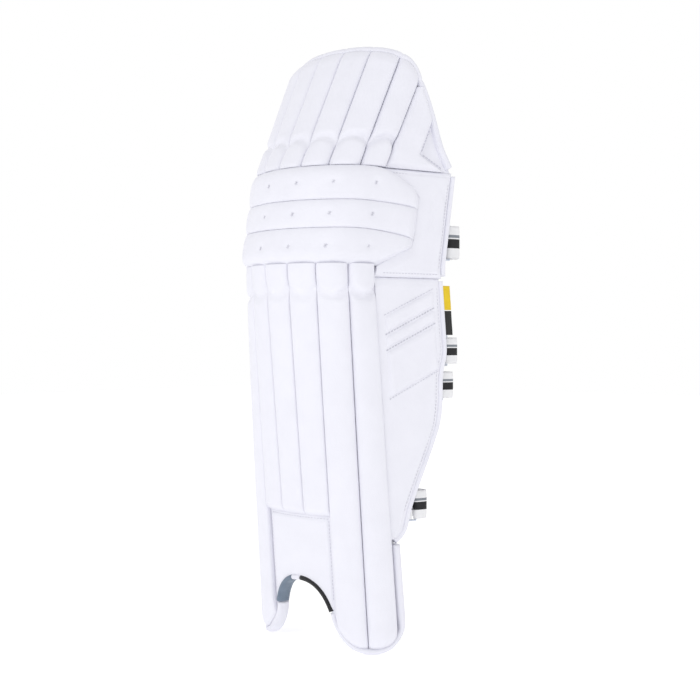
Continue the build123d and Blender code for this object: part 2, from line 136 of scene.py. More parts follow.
def surface(s, n, z):
    """Points s round the face from the middle and n outside it, at heights z."""
    s, n, z = np.broadcast_arrays(*(np.asarray(value, float) for value in (s, n, z)))
    front, corner = size_at(z, FRONT_RADIUS), size_at(z, CORNER_RADIUS)
    front_end = groove(CORNER_GROOVE, z)
    front_turn = front_end / front
    distance = np.abs(s)
    past = distance > front_end
    round_corner = np.minimum(front_turn + (distance - front_end) / corner, SIDE_ANGLE)
    turn = np.where(past, round_corner, distance / front)
    bend = np.minimum(turn, front_turn)
    x = front * np.sin(bend) + corner * (np.sin(turn) - np.sin(bend))
    y = front * (1 - np.cos(bend)) + corner * (np.cos(bend) - np.cos(turn))
    straight = np.maximum(distance - front_end - (SIDE_ANGLE - front_turn) * corner, 0)
    x = x + straight * np.cos(turn) + n * np.sin(turn)
    y = y + straight * np.sin(turn) - n * np.cos(turn)
    return np.stack([np.copysign(x, s), y + face_line(z), z], -1)


def frame_shift():
    """What takes these millimetres to the frame's, from where the middle cane is."""
    low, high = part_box("shin_cane_4")
    x = (low.x + high.x) / 2 * 1000
    y = low.y * 1000 + CANE_CROWN - float(sharp_face_line(KNEE_BASE - 1))
    return np.array([x, y, 0.0])


SHIFT = frame_shift()


def place(points):
    return (points + SHIFT) / 1000


def fold_blend():
    """Ride of two bodies and two points beside the top hat's fold."""
    low = surface(0, 0, KNEE_TOP)
    return ("shin", "top_hat", place(low).tolist(), place(low + np.array([0, 0, FOLD_REACH])).tolist())


def seam_blend():
    """Ride of two bodies and two points across the calf wing's seam."""
    bottom, top = 150, CALF_WING_TOP - 3
    middle = (bottom + top) / 2
    low, start, high = (surface(side(0, z), WING / 2, z) for z in (bottom, middle, top))
    seam = (high - low) / np.linalg.norm(high - low)
    across = surface(side(SEAM_REACH, middle), WING / 2, middle) - start
    across = across - seam * float(across @ seam)
    return ("shin", "outer_wing", place(start).tolist(), place(start + across).tolist())


FOLD, WING_SEAM = fold_blend(), seam_blend()


# ---------------------------------------------------------------- outlines
def smooth_line(points, step=2.0, reach=9.0):
    """Even points along a line through the given ones, with its corners softened over reach."""
    points = np.asarray(points, float)
    gone = np.concatenate([[0], np.cumsum(np.linalg.norm(np.diff(points, axis=0), axis=1))])
    count = max(int(gone[-1] / step), 4)
    at = np.linspace(0, gone[-1], count + 1)
    offsets = np.linspace(-1, 1, 9)
    room = np.minimum(np.minimum(at, gone[-1] - at), reach)
    line = 0
    for offset in offsets:
        line = line + pick(at + offset * room, gone, points)
    return line / len(offsets)


def depth_line(outline):
    """Depth as a smooth function of height."""
    line = smooth_line(outline)
    return lambda z: np.interp(z, line[:, 1], line[:, 0])


def depth_table(outline):
    """Depth as a function of height, with straight stretches."""
    depths, heights = zip(*outline)
    return lambda z: np.interp(z, heights, depths)


def arch_line(s):
    share = np.minimum(np.abs(s) / ARCH_HALF_WIDTH, 1)
    return ARCH_HEIGHT * (1 - share**ARCH_POWER) ** (1 / ARCH_POWER)


def toe_line(s):
    return TOE_LIFT + (TOE_DIP - TOE_LIFT) * (np.abs(np.abs(s) - TOE_MIDDLE) / TOE_LOBE) ** 2.6


def bottom_line(s):
    """Height of the pad's lower edge: the arch in the middle and a rounded toe on each side."""
    inside = np.maximum(arch_line(s), TOE_DIP)
    return np.where(np.abs(s) < ARCH_HALF_WIDTH, inside, np.minimum(toe_line(s), TOE_DIP + 8))


def dome_height(s):
    share = np.minimum(np.abs(s) / groove(EDGE_GROOVE + 0.3, DOME_TOP), 1)
    return DOME_TOP - 104 * (1 - (1 - share**3) ** (1 / 3))


def top_panel_edge():
    """Depth and height along the top hat's outer side, from its foot to where the canes' dome starts."""
    corner = float(dome_height(groove(EDGE_GROOVE, DOME_TOP))) - 10
    climb = corner - KNEE_TOP
    return [(97, KNEE_TOP), (68, KNEE_TOP + 0.29 * climb), (36, KNEE_TOP + 0.72 * climb), (13, corner)]


def shoulder_line(s, z):
    """Top of the upper knee roll, which rounds down at its outer end."""
    share = (s - side(SHOULDER_START, z)) / (SHOULDER_END - SHOULDER_START)
    return KNEE_TOP - SHOULDER_DROP * np.clip(share, 0, 1) ** SHOULDER_POWER


def shoulder_depth(z):
    """Depth where the upper knee roll's rounded shoulder is at a height."""
    share = np.clip((KNEE_TOP - z) / SHOULDER_DROP, 0, 1) ** (1 / SHOULDER_POWER)
    return SHOULDER_START + share * (SHOULDER_END - SHOULDER_START)


# ---------------------------------------------------------------- forms
def edge_spaced(count):
    """From 0 to 1, closer together near both ends."""
    return (1 - np.cos(np.linspace(0, math.pi, count))) / 2


def puff(share, power=2.8):
    """1 in the middle of a cushion and 0 at its two edges, for shares from 0 to 1."""
    return np.maximum(1 - np.abs(2 * share - 1) ** power, 0) ** (1 / power)


def near(distance, reach):
    return np.exp(-((distance / reach) ** 2))


def rise(distance, reach):
    """0 at an edge, swelling to 1 at reach from it."""
    return np.sin(np.clip(distance / reach, 0, 1) * math.pi / 2) ** 0.8


def ripple(s, z, size, seed=0.0):
    """Smooth uneven waves about size mm across, between -1 and 1."""
    total = 0
    for k in range(6):
        heading = seed + 2.4 * k
        along = s * math.cos(heading) + z * math.sin(heading)
        total = total + np.sin(along * 2 * math.pi / (size * (0.75 + 0.15 * k)) + 7 * seed + 1.7 * k)
    return total / 6


# ---------------------------------------------------------------- meshes
def grid_faces(rows, columns):
    corner = np.arange(rows - 1)[:, None] * columns + np.arange(columns - 1)
    quads = np.stack([corner, corner + 1, corner + columns + 1, corner + columns], -1)
    return quads.reshape(-1, 4).tolist()


def border(rows, columns):
    """Indices of a grid's border, in order round it."""
    low = list(range(columns))
    right = [row * columns + columns - 1 for row in range(1, rows)]
    high = [(rows - 1) * columns + column for column in range(columns - 2, -1, -1)]
    left = [row * columns for row in range(rows - 2, 0, -1)]
    return low + right + high + left


def tube_faces(rings, around):
    faces = []
    for ring in range(rings - 1):
        for step in range(around):
            a = ring * around + step
            b = ring * around + (step + 1) % around
            faces.append((a, b, b + around, a + around))
    faces.append(tuple(range(around - 1, -1, -1)))
    faces.append(tuple((rings - 1) * around + step for step in range(around)))
    return faces


def make_piece(name, points, faces, ride, slot, nodes=(), fill=None, **values):
    """A mesh piece. ride is a body to hang it on, or (body, body, start, end), which leaves it in place
    unattached.
    """
    mesh = bpy.data.meshes.new(name)
    mesh.from_pydata(place(np.asarray(points).reshape(-1, 3)).tolist(), [], faces)
    for key, value in values.items():
        attribute = mesh.attributes.new(key, "FLOAT", "POINT")
        attribute.data.foreach_set("value", np.asarray(value, np.float32).ravel())
    work = bmesh.new()
    work.from_mesh(mesh)
    bmesh.ops.recalc_face_normals(work, faces=work.faces)
    work.to_mesh(mesh)
    work.free()
    mesh.shade_smooth()
    mesh.materials.append(MATERIALS[slot])
    piece = bpy.data.objects.new(name, mesh)
    bpy.context.scene.collection.objects.link(piece)
    if isinstance(ride, str):
        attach(piece, ride)
    else:
        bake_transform(piece)
    if nodes:
        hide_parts(*nodes)
    return piece


def shell(name, s, z, outer, inner, ride, slot, **more):
    """Closed piece between two heights off the face, over a grid of s and z."""
    s, z, outer, inner = np.broadcast_arrays(s, z, outer, inner)
    rows, columns = s.shape
    points = np.concatenate([surface(s, outer, z).reshape(-1, 3), surface(s, inner, z).reshape(-1, 3)])
    total = rows * columns
    front = grid_faces(rows, columns)
    back = [[index + total for index in face[::-1]] for face in front]
    edge = border(rows, columns)
    walls = [(a, a + total, b + total, b) for a, b in zip(edge, edge[1:] + edge[:1])]
    return make_piece(name, points, front + back + walls, ride, slot, **more)


def edging(name, s, z, low, high, half_width, ride, slot, power=2.6, **more):
    """Rounded tape or cord that follows an edge, given by s and z, from n low to n high."""
    s, z = np.asarray(s, float), np.asarray(z, float)
    along_s, along_z = np.gradient(s), np.gradient(z)
    length = np.hypot(along_s, along_z)
    angle = np.linspace(0, 2 * math.pi, 17)[:-1]
    wide = np.sign(np.cos(angle)) * np.abs(np.cos(angle)) ** (2 / power)
    tall = np.sign(np.sin(angle)) * np.abs(np.sin(angle)) ** (2 / power)
    width = np.broadcast_to(half_width, s.shape)[:, None] * wide
    low, high = np.broadcast_to(low, s.shape)[:, None], np.broadcast_to(high, s.shape)[:, None]
    n = (low + high) / 2 + (high - low) / 2 * tall
    across_s, across_z = -(along_z / length)[:, None], (along_s / length)[:, None]
    points = surface(s[:, None] + across_s * width, n, z[:, None] + across_z * width)
    return make_piece(name, points, tube_faces(len(s), len(angle)), ride, slot, **more)


def capsule():
    """Points and faces of one thread, a unit long along X and a unit in radius."""
    around = 6
    ends, sizes = (-1.0, -0.8, 0.0, 0.8, 1.0), (0.35, 0.85, 1.0, 0.85, 0.35)
    turn = np.arange(around) * 2 * math.pi / around
    rings = [[(x, size * math.cos(a), size * math.sin(a)) for a in turn] for x, size in zip(ends, sizes)]
    return np.array(rings).reshape(-1, 3), tube_faces(len(ends), around)


def threads(name, starts, ends, normals, ride, slot="trim_leather"):
    """Stitches from each start to each end, lying on a surface with those normals."""
    shape, faces = capsule()
    along = (ends - starts) / 2
    middle = (ends + starts) / 2
    up = normals / np.linalg.norm(normals, axis=1)[:, None]
    across = np.cross(up, along)
    across = across / np.linalg.norm(across, axis=1)[:, None]
    bulge = shape[:, 1, None] * across[:, None] + shape[:, 2, None] * up[:, None]
    points = middle[:, None] + shape[:, 0, None] * along[:, None] + STITCH_RADIUS * bulge
    every = [[index + k * len(shape) for index in face] for k in range(len(starts)) for face in faces]
    piece = make_piece(name, points.reshape(-1, 3), every, ride, slot)
    piece.data.materials[0] = THREAD
    return piece


def pick(where, gone, values):
    """Points at the lengths where, along a line whose points lie at the lengths gone."""
    return np.stack([np.interp(where, gone, values[:, i]) for i in range(values.shape[1])], -1)


def sewn(name, lines, ride):
    """Rows of stitches along lines of (s, z, n) arrays."""
    starts, ends, normals = [], [], []
    for s, z, n in lines:
        s, z, n = np.broadcast_arrays(*(np.asarray(value, float) for value in (s, z, n)))
        points, lifted = surface(s, n, z), surface(s, n + 1, z)
        gone = np.concatenate([[0], np.cumsum(np.linalg.norm(np.diff(points, axis=0), axis=1))])
        first = np.arange(STITCH_PITCH / 2, gone[-1] - STITCH_LENGTH, STITCH_PITCH)
        starts.append(pick(first, gone, points))
        ends.append(pick(first + STITCH_LENGTH, gone, points))
        normals.append(pick(first, gone, lifted) - starts[-1])
    return threads(name, np.concatenate(starts), np.concatenate(ends), np.concatenate(normals), ride)


# ---------------------------------------------------------------- materials
def node_material(name, roughness):
    material = bpy.data.materials.new(name)
    material.use_nodes = True
    shader = material.node_tree.nodes["Principled BSDF"]
    shader.inputs["Roughness"].default_value = roughness
    return material, material.node_tree, shader


def add(tree, kind, **settings):
    node = tree.nodes.new(kind)
    for key, value in settings.items():
        if key in node.inputs:
            node.inputs[key].default_value = value
        else:
            setattr(node, key, value)
    return node


def mottle(tree, shader, socket, texture, low, high):
    """Feeds a shader socket with a mix of two values or colours, by a texture."""
    ramp = add(tree, "ShaderNodeValToRGB")
    ramp.color_ramp.elements[0].color = low
    ramp.color_ramp.elements[1].color = high
    ramp.color_ramp.elements[0].position = 0.3
    ramp.color_ramp.elements[1].position = 0.7
    tree.links.new(texture, ramp.inputs["Fac"])
    tree.links.new(ramp.outputs["Color"], shader.inputs[socket])


def grey(value):
    return (value, value, value, 1)


def bumps(tree, shader, heights):
    """Chains bumps of (texture output, strength, distance in metres) into the shader."""
    normal = None
    for output, strength, distance in heights:
        bump = add(tree, "ShaderNodeBump", Strength=strength, Distance=distance)
        tree.links.new(output, bump.inputs["Height"])
        if normal:
            tree.links.new(normal, bump.inputs["Normal"])
        normal = bump.outputs["Normal"]
    tree.links.new(normal, shader.inputs["Normal"])


def leather(name, light, dark, roughness=0.46):
    """Coated leather: fine pebbled grain, faint uneven gloss and tone."""
    material, tree, shader = node_material(name, roughness)
    where = add(tree, "ShaderNodeTexCoord").outputs["Object"]
    grain = add(tree, "ShaderNodeTexVoronoi", Scale=900.0)
    cloud = add(tree, "ShaderNodeTexNoise", Scale=38.0, Detail=4.0)
    fine = add(tree, "ShaderNodeTexNoise", Scale=420.0, Detail=3.0)
    for texture in (grain, cloud, fine):
        tree.links.new(where, texture.inputs["Vector"])
    mottle(tree, shader, "Base Color", cloud.outputs["Fac"], dark, light)
    mottle(tree, shader, "Roughness", fine.outputs["Fac"], grey(roughness - 0.06), grey(roughness + 0.08))
    bumps(tree, shader, [
        (grain.outputs["Distance"], 0.22, 0.0003),
        (fine.outputs["Fac"], 0.25, 0.0005),
        (cloud.outputs["Fac"], 0.12, 0.002),
    ])
    shader.inputs["Specular IOR Level"].default_value = 0.42
    return material


def cloth(name, light, dark, thread=0.0009, fuzz=0.3, roughness=0.9):
    """Woven or brushed cloth: two crossing rows of threads with fuzz over them."""
    material, tree, shader = node_material(name, roughness)
    where = add(tree, "ShaderNodeTexCoord").outputs["Object"]
    rows = []
    for direction in ("X", "Z"):
        wave = add(tree, "ShaderNodeTexWave", Scale=1 / (6.28 * thread), Distortion=1.5)
        wave.bands_direction = direction
        tree.links.new(where, wave.inputs["Vector"])
        rows.append((wave.outputs["Fac"], 0.35, thread / 2))
    noise = add(tree, "ShaderNodeTexNoise", Scale=90.0, Detail=6.0)
    tree.links.new(where, noise.inputs["Vector"])
    mottle(tree, shader, "Base Color", noise.outputs["Fac"], dark, light)
    bumps(tree, shader, rows + [(noise.outputs["Fac"], fuzz, 0.0012)])
    shader.inputs["Sheen Weight"].default_value = 0.25
    return material


def striped_webbing(name):
    """Ribbed strap with a grey and a black stripe woven along it."""
    material, tree, shader = node_material(name, 0.82)
    across = add(tree, "ShaderNodeAttribute", attribute_name="across").outputs["Fac"]
    along = add(tree, "ShaderNodeAttribute", attribute_name="along").outputs["Fac"]
    ramp = add(tree, "ShaderNodeValToRGB")
    ramp.color_ramp.interpolation = "CONSTANT"
    white, stripe_grey, black = (0.84, 0.84, 0.86, 1), (0.23, 0.25, 0.28, 1), (0.012, 0.012, 0.014, 1)
    stops = [(0.0, white), (0.27, stripe_grey), (0.36, white), (0.40, black), (0.68, white)]
    for position, colour in stops[2:]:
        ramp.color_ramp.elements.new(position).color = colour
    for element, (position, colour) in zip(ramp.color_ramp.elements, stops):
        element.position, element.color = position, colour
    tree.links.new(across, ramp.inputs["Fac"])
    tree.links.new(ramp.outputs["Color"], shader.inputs["Base Color"])
    rib = add(tree, "ShaderNodeMath", operation="SINE")
    scale = add(tree, "ShaderNodeMath", operation="MULTIPLY")
    scale.inputs[1].default_value = 2 * math.pi / 1.3
    tree.links.new(along, scale.inputs[0])
    tree.links.new(scale.outputs[0], rib.inputs[0])
    fuzz = add(tree, "ShaderNodeTexNoise", Scale=700.0, Detail=3.0)
    bumps(tree, shader, [(rib.outputs[0], 0.5, 0.0003), (fuzz.outputs["Fac"], 0.3, 0.0003)])
    return material


def wire_metal(name):
    """Bright nickel-plated wire with faint drawing marks."""
    material, tree, shader = node_material(name, 0.2)
    shader.inputs["Metallic"].default_value = 1.0
    where = add(tree, "ShaderNodeTexCoord").outputs["Object"]
    marks = add(tree, "ShaderNodeTexNoise", Scale=600.0, Detail=3.0)
    tree.links.new(where, marks.inputs["Vector"])
    mottle(tree, shader, "Base Color", marks.outputs["Fac"], (0.48, 0.52, 0.6, 1), (0.66, 0.69, 0.76, 1))
    mottle(tree, shader, "Roughness", marks.outputs["Fac"], grey(0.16), grey(0.3))
    bumps(tree, shader, [(marks.outputs["Fac"], 0.08, 0.0003)])
    return material


def floor_material(name):
    """Bright matt paper."""
    material, tree, shader = node_material(name, 0.9)
    shader.inputs["Emission Color"].default_value = (1, 1, 1, 1)
    shader.inputs["Emission Strength"].default_value = 0.34
    noise = add(tree, "ShaderNodeTexNoise", Scale=3.0)
    mottle(tree, shader, "Base Color", noise.outputs["Fac"], grey(0.93), grey(0.95))
    return material


WHITE, SHADE = (0.80, 0.80, 0.87, 1), (0.775, 0.775, 0.845, 1)
THREAD = cloth("thread", (0.66, 0.66, 0.73, 1), (0.58, 0.58, 0.65, 1), 0.0005)
MATERIALS = {
    "face_leather": leather("face_leather", WHITE, SHADE),
    "trim_leather": leather("trim_leather", (0.79, 0.79, 0.86, 1), (0.76, 0.76, 0.835, 1), 0.5),
    "lining": cloth("lining", (0.66, 0.66, 0.72, 1), (0.60, 0.60, 0.67, 1), 0.0011, 0.5),
    "backing": cloth("backing", (0.74, 0.74, 0.77, 1), (0.70, 0.70, 0.74, 1), 0.0007, 0.6),
    "webbing": striped_webbing("webbing"),
    "ring_metal": wire_metal("ring_metal"),
    "binding_blue": cloth("binding_blue", (0.17, 0.22, 0.29, 1), (0.13, 0.17, 0.23, 1), 0.0006),
    "binding_black": cloth("binding_black", (0.016, 0.016, 0.018, 1), (0.01, 0.01, 0.012, 1), 0.0006),
    "tag_yellow": cloth("tag_yellow", (0.78, 0.56, 0.015, 1), (0.7, 0.49, 0.01, 1), 0.0005),
    "tag_black": cloth("tag_black", (0.02, 0.02, 0.02, 1), (0.012, 0.012, 0.012, 1), 0.0005),
}


# ---------------------------------------------------------------- shin
def inner_fullness(s):
    """Extra padding on the inner side of the knee and top hat."""
    return 4.5 * np.clip((-s - 35) / 45, 0, 1)


def cup_line(t, base, sign):
    """Rounded end of a cup at shares t from 0 to 1 across a channel; sign -1 for a cup that hangs down."""
    return base + sign * 9 * (1 - (2 * t - 1) ** 2)


def seam_depth(k):
    """Height off the face of the seams between channels: the two outer ones are the deepest."""
    return 7.5 - 3.5 * np.clip((k - 2.0) * 4, 0, 1)


def cane_height(t, z, edge, crown, cup_base, cup_sign, seed):
    """Height off the face across a padded channel, pinched where its cup ends."""
    line = cup_line(t, cup_base, cup_sign)
    pinch = near(z - line, 4.5)
    cup = np.clip((z - line) * -cup_sign / 5, 0, 1)
    power = 2.4 - 1.1 * near(z - line, 8.0)
    swell = 1 - 0.5 * pinch + 0.12 * cup
    height = edge + (crown - edge) * puff(t, power) * swell
    creases = ripple(t * 34, z, 11, seed) * near(z - line, 11) * puff(t, 4) * 0.5
    return height + creases + 0.25 * ripple(t * 34, z, 70, seed) * puff(t, 4)


def make_shin_canes():
    rows = np.concatenate([np.linspace(0, 0.9, 100), np.linspace(0.9, 1, 34)[1:]])[:, None]
    t = edge_spaced(21)[None, :]
    for index in range(CANES):
        k = index - EDGE_GROOVE
        central = abs(k + 0.5) < 1.5
        s_low = groove(k + t, 0)
        low = INSTEP_TOP + 2 if central else bottom_line(s_low) + 4
        z = low + rows * (KNEE_BASE + 2 - low)
        s = groove(k, z) + 0.1 + t * (size_at(z, CANE_WIDTH) - 0.2)
        outer = cane_height(t, z, seam_depth(k + t), CANE_CROWN, KNEE_BASE - CUP_HEIGHT, -1, index)
        ends = 0.35 + 0.65 * rise(z - low, 9) if central else 0.62 + 0.38 * rise(z - low, 12)
        outer = 1.5 + (outer - 1.5) * ends
        shell(f"shin_channel_{index + 1}", s, z, outer, FIT, "shin", "face_leather",
              nodes=[f"shin_cane_{index + 1}"], fill=0.85)


def make_instep_panel():
    t = edge_spaced(61)[None, :]
    rows = edge_spaced(34)[:, None]
    half = groove(1.5, 0) - 0.1
    s = -half + t * 2 * half
    low = np.maximum(arch_line(s), TOE_DIP) + 3
    z = low + rows * (INSTEP_TOP + 3 - low)
    hem = np.minimum(half - np.abs(s), INSTEP_TOP + 3 - z)
    outer = 3.2 + 2.6 * rise(hem, 8) - 1.0 * near(hem - 4, 1.3) + 0.25 * ripple(s, z, 40, 3)
    shell("instep_cover", s, z, outer, FIT, "shin", "face_leather", nodes=["instep_panel"], fill=0.3)
    inset = 4.0
    top = np.linspace(-half + inset, half - inset, 60)
    up = np.linspace(60, INSTEP_TOP - 1, 60)
    sewn("instep_stitches", [
        (top, INSTEP_TOP - 1, 4.4),
        (half - inset, up, 4.4),
        (inset - half, up, 4.4),
    ], "shin")


def foot_edge(start, end):
    """s and z along the foot's lower edge between two distances round the face."""
    s = np.concatenate([np.linspace(start, end, 500), [-49.9, 49.9]])
    s = np.unique(s[(s >= min(start, end)) & (s <= max(start, end))])
    line = smooth_line(np.stack([s, bottom_line(s)], -1), 2.5, 5)
    return line[:, 0], line[:, 1]


def make_foot_edging():
    """The bound edge of the arch in three colours, and of both toes."""
    wrap = (-BACKING - 2, PANEL + 3.2)
    lengths = [
        ("blue", -44, -12.3, "binding_blue"),
        ("white", -11.7, 1.7, "trim_leather"),
        ("black", 2.3, 44, "binding_black"),
    ]
    for colour, start, end, slot in lengths:
        edging(f"arch_tape_{colour}", *foot_edge(start, end), *wrap, TAPE_WIDTH["arch"], "shin", slot,
               nodes=[f"arch_binding_{colour}"])
    for name, sign in (("inner", -1), ("outer", 1)):
        s, z = foot_edge(44.6, 128.4)
        line = smooth_line([*zip(s, z), (128, 60), (127, 128)], 2.5, 6)
        swell = 8.5 - 2.5 * near(line[:, 0] - 46, 10)
        upright = np.clip((line[:, 1] - 25) / 20, 0, 1) * (line[:, 0] > TOE_MIDDLE)
        half_width = TAPE_WIDTH["toe"] + 1.7 * upright
        edging(f"toe_tape_{name}", sign * line[:, 0], line[:, 1], -BACKING - 2.2, swell, half_width, "shin",
               "trim_leather", nodes=[f"toe_trim_{name}"])


def make_shin_backing():
    t = edge_spaced(121)[None, :]
    rows = np.linspace(0, 1, 90)[:, None]
    reach = groove(EDGE_GROOVE, 0) + BACKING_REACH - 0.5
    s0 = -reach + t * 2 * reach
    low = bottom_line(s0) + 2
    z = low + rows * (KNEE_TOP - 1.5 - low)
    s = s0 * (side(BACKING_REACH, z) - 0.5) / reach
    hem = side(BACKING_REACH, z) - np.abs(s)
    inner = -BACKING - FIT + 2.6 * (1 - rise(hem, 5)) + 0.3 * ripple(s, z, 30, 5)
    outer = -FIT - 2.2 * (1 - rise(hem, 5)) * 0.6
    shell("shin_board", s, z, outer, inner, "shin", "backing", nodes=["shin_backing"], fill=0.9)


def make_shin_liner():
    """Lining behind the shin, quilted into soft upright channels."""
    t = edge_spaced(97)[None, :]
    rows = edge_spaced(90)[:, None]
    reach = groove(EDGE_GROOVE, 0) - 3
    s0 = -reach + t * 2 * reach
    low = np.maximum(bottom_line(s0), 14) + 8
    z = low + rows * (KNEE_BASE - 2 - low)
    s = s0 * (groove(EDGE_GROOVE, z) - 3) / reach
    channels = np.abs(np.sin(math.pi * (s / groove(1, z) * 0.8 + 0.5))) ** 0.6
    edge = rise(np.minimum(groove(EDGE_GROOVE, z) - 3 - np.abs(s), z - low), 6)
    base = -BACKING - 2 * FIT
    inner = base - 0.8 - (LINER - 0.8) * channels * edge - 0.3 * ripple(s, z, 24, 2)
    shell("shin_lining", s, z, base, inner, "shin", "lining", nodes=["shin_liner"], fill=0.4)


# ---------------------------------------------------------------- knee
def roll_end(z):
    """Depth on the outer side where the rolls end, with a slanting lower corner."""
    return np.interp(z, [KNEE_BASE, 480, 500, KNEE_TOP], [3.5, 49.5, 51.7, 51.7])


def roll_seam(height, s, z):
    """Height of the seam between two rolls, which drops a little towards its outer end."""
    drop = SEAM_DROPS[ROLL_EDGES.index(height)]
    return height - drop * np.clip((s - groove(2.2, z)) / groove(2.8, z), 0, 1) ** 2


def make_knee_rolls():
    u = edge_spaced(151)[None, :]
    rows = edge_spaced(31)[:, None]
    crossings = []
    for name, low, high in zip(("lower", "middle", "upper"), ROLL_EDGES, ROLL_EDGES[1:]):
        z = low + rows * (high - low) + 0 * u
        for _ in range(3):
            start, end = -side(20, z), side(roll_end(z), z)
            s = start + u * (end - start)
            foot = roll_seam(low, s, z) + ROLL_HAIR
            top = np.minimum(shoulder_line(s, z), roll_seam(high, s, z)) - ROLL_HAIR
            z = foot + rows * (top - foot)
        hem = np.minimum(s - start, end - s)
        across = puff(rows, 2.3)
        foot_seam = 2.0 if low == KNEE_BASE else ROLL_SEAM
        top_seam = 9.5 if high == KNEE_TOP else ROLL_SEAM
        seam = np.where(rows < 0.5, foot_seam, top_seam)
        outer = seam + (ROLL_CROWN - seam) * across
        outer = ROLL_HEM + (outer - ROLL_HEM) * (0.12 + 0.88 * rise(hem - 2, 15))
        for k in TACKS:
            away = np.hypot(s - groove(k, z), z - (low + high) / 2)
            outer = outer - 1.5 * near(away, 4.5)
            crossings.append((k, (low + high) / 2))
        flat = np.clip(hem / 9, 0, 1)
        creases = 0.35 * ripple(s, z, 55, low) + 0.28 * ripple(s, z, 13, low) * (1 - across)
        outer = outer + 0.8 * inner_fullness(s) * flat + flat * creases
        shell(f"knee_bolster_{name}", s, z, outer, FIT, "shin", "face_leather",
              nodes=[f"knee_roll_{name}"], fill=0.8)
    make_tacks(crossings)
    z = np.linspace(482, 538, 40)
    slant = np.linspace(KNEE_BASE + 4, 480, 30)
    sewn("roll_stitches", [
        (side(roll_end(z) - 3, z), z, 7.3),
        (side(roll_end(slant) - 5, slant), slant, 7.3),
        (-side(16, np.linspace(462, 570, 60)), np.linspace(462, 570, 60), 7.3),
    ], "shin")


def make_tacks(crossings):
    """Small sewn crosses that hold the rolls down."""
    starts, ends, normals = [], [], []
    for k, z in crossings:
        s = groove(k, z)
        for turn in (0.5, 2.1, 1.3):
            ds, dz = 2.6 * math.cos(turn), 2.6 * math.sin(turn)
            starts.append(surface(s - ds, ROLL_CROWN - 1.1, z - dz))
            ends.append(surface(s + ds, ROLL_CROWN - 1.1, z + dz))
            normals.append(surface(s, ROLL_CROWN, z) - surface(s, 0, z))
    threads("knee_roll_tacks", np.array(starts), np.array(ends), np.array(normals), "shin")


def make_knee_wing():
    rows = edge_spaced(70)[:, None]
    u = edge_spaced(41)[None, :]
    low, high = KNEE_WING_BASE - 2.0, KNEE_TOP - 0.05
    z = low + rows * (high - low) + 0 * u
    start = np.minimum(roll_end(z), shoulder_depth(z)) + 0.2
    start = np.where(z < KNEE_BASE, np.interp(z, [low, KNEE_BASE], [WING_START - 5, 3.5]), start)
    end = KNEE_WING_DEPTH - 2.5
    depth = start + u * (end - start)
    s = side(depth, z)
    hem = np.minimum(end - depth, np.minimum(z - low, high - z))
    oval = np.hypot((depth - 82) / 9, (z - 527) / 27)
    outer = 3.0 + 5.0 * rise(hem, 7) - 0.7 * near((oval - 1) * 9, 1.6) - 1.2 * near(hem - SEAM_INSET, 1.4)
    outer = outer + 0.3 * ripple(s, z, 45, 8)
    shell("knee_wing_cover", s, z, outer, FIT, "shin", "face_leather", nodes=["knee_wing"], fill=0.5)
    up = np.linspace(KNEE_WING_BASE + 1, KNEE_TOP - 4, 50)
    inner, outer = KNEE_WING / 2 - PIPING - 1.5, KNEE_WING / 2 + PIPING
    edging("knee_wing_cord", side(KNEE_WING_DEPTH, up), up, inner, outer, PIPING,
           "shin", "trim_leather", power=2.2, nodes=["knee_wing_piping"])
    along = np.linspace(8, end - 6, 60)
    foot = np.linspace(WING_START + 4, end - 6, 60)
    sewn("knee_wing_stitches", [
        (side(end - SEAM_INSET, up[3:-3]), up[3:-3], 6.7),
        (side(along, high - 5), high - 5 - 8 * (along / 90) ** 2, 6.7),
        (side(foot, low + 5), low + 5, 6.7),
    ], "shin")


def make_knee_cushions():
    """Two foam pads across the back of the knee."""
    u, rows = edge_spaced(81)[None, :], edge_spaced(27)[:, None]
    for name, low, high in (("lower", 462, 494), ("upper", 534, 568)):
        z = low + rows * (high - low) + 0 * u
        s = (2 * u - 1) * groove(2.55, z)
        base = -BACKING - 2 * FIT
        thick = CUSHION * (0.12 + 0.88 * puff(rows, 2.3) * puff(u, 5))
        inner = base - thick - 0.4 * ripple(s, z, 18, low)
        shell(f"knee_pad_{name}", s, z, base, inner, "shin", "lining",
              nodes=[f"knee_cushion_{name}"], fill=0.8)


# ---------------------------------------------------------------- outer wing
def make_calf_wing():
    edge = depth_line(CALF_EDGE)
    rows = np.linspace(0, 1, 110)[:, None]
    u = edge_spaced(37)[None, :]
    z = 134 + rows * (CALF_WING_TOP + 0.8 - 134) + 0 * u
    start, end = WING_START - 5.7, edge(z) - 2.2
    depth = start + u * np.maximum(end - start, 1.5)
    s = side(depth, z)
    hem = np.minimum(end - depth, CALF_WING_TOP + 0.8 - z)
    outer = 3.0 + 3.0 * rise(hem, 6) - 1.1 * near(hem - SEAM_INSET, 1.4) + 0.35 * ripple(s, z, 36, 4)
    creases = near(np.hypot(depth - 78, z - 350), 22)
    outer = outer + 0.7 * ripple(depth + z, z, 12, 6) * creases
    shell("calf_wing_cover", s, z, outer, FIT, WING_SEAM, "face_leather", nodes=["calf_wing"], fill=0.5)
    line = smooth_line([*CALF_EDGE[:-1], (96, CALF_WING_TOP - 2)], 2.2, 10)
    low, high = WING / 2 - PIPING - 1, WING / 2 + PIPING
    edging("calf_wing_cord", side(line[:, 0], line[:, 1]), line[:, 1], low, high, PIPING,
           "outer_wing", "trim_leather", power=2.2, nodes=["calf_wing_piping"])
    up = np.linspace(165, CALF_WING_TOP - 6, 90)
    sewn("calf_wing_stitches", [(side(edge(up) - 7.2, up), up, 5.1)], "outer_wing")


